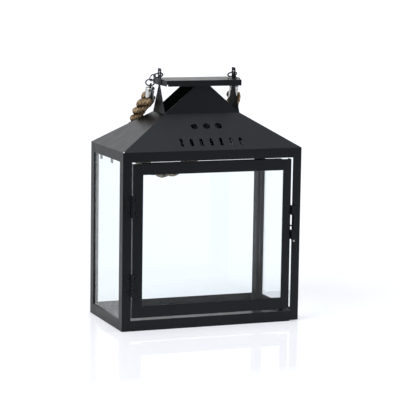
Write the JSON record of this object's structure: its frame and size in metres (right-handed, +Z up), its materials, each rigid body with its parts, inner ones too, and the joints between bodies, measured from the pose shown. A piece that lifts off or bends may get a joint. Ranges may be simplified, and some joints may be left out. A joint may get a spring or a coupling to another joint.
{
  "type": "candle lantern",
  "caption": "Black sheet metal lantern with a hinged glass door, glass sides, pierced hip roof, vented chimney cap and a jute rope handle on ring links.",
  "frame": {"origin": "middle of the rectangle that the four posts stand on, at the height of the surface the lantern stands on", "axes": "+X to the right along the front, +Y from the door to the back, +Z up"},
  "size_m": [0.28, 0.1921, 0.377],
  "materials": {
    "black_paint": "satin black powder coat on folded sheet steel",
    "black_hardware": "black painted hinges, latch and rivets",
    "glass": "clear float glass with a faint green edge",
    "bright_metal": "bright nickel plate",
    "rope": "three-strand twisted jute"
  },
  "bodies": {
    "lantern_body": {"chimney_back": "black_paint", "chimney_cap": "black_paint", "chimney_end_left": "black_paint", "chimney_end_right": "black_paint", "chimney_front": "black_paint", "clips_back": "black_paint", "clips_left": "black_paint", "clips_right": "black_paint", "floor_tray": "black_paint", "hinge_leaf_frame_lower": "black_hardware", "hinge_leaf_frame_upper": "black_hardware", "hinge_pin_lower": "black_hardware", "hinge_pin_upper": "black_hardware", "hinge_rivets_frame": "black_hardware", "latch_lugs": "black_hardware", "latch_plate": "black_hardware", "latch_rivet": "black_hardware", "latch_rod": "black_hardware", "pane_back": "glass", "pane_left": "glass", "pane_right": "glass", "post_back_left": "black_paint", "post_back_right": "black_paint", "post_front_left": "black_paint", "post_front_right": "black_paint", "rail_bottom_back": "black_paint", "rail_bottom_front": "black_paint", "rail_bottom_left": "black_paint", "rail_bottom_right": "black_paint", "rail_top_back": "black_paint", "rail_top_front": "black_paint", "rail_top_left": "black_paint", "rail_top_right": "black_paint", "roof_back": "black_paint", "roof_front": "black_paint", "roof_left": "black_paint", "roof_right": "black_paint"},
    "door": {"door_clips": "black_paint", "door_pane": "glass", "door_rail_bottom": "black_paint", "door_rail_top": "black_paint", "door_stile_left": "black_paint", "door_stile_right": "black_paint", "hinge_leaf_door_lower": "black_hardware", "hinge_leaf_door_upper": "black_hardware", "hinge_rivets_door": "black_hardware", "latch_clip": "black_hardware", "latch_clip_rivet": "black_hardware"},
    "handle": {"ferrule_left": "bright_metal", "ferrule_right": "bright_metal", "ring_bail_left": "bright_metal", "ring_bail_right": "bright_metal", "ring_eye_left": "bright_metal", "ring_eye_right": "bright_metal", "ring_link_left": "bright_metal", "ring_link_right": "bright_metal", "rope": "rope"}
  },
  "joints": [
    {"name": "door_hinge", "type": "hinge", "parent": "lantern_body", "child": "door", "pos_m": [-0.1258, -0.0774, 0.1255], "axis": [0, 0, -1], "range_deg": [0, 170]},
    {"name": "handle_swing", "type": "hinge", "parent": "lantern_body", "child": "handle", "pos_m": [0, 0, 0.3698], "axis": [1, 0, 0], "range_deg": [0, 240]}
  ]
}
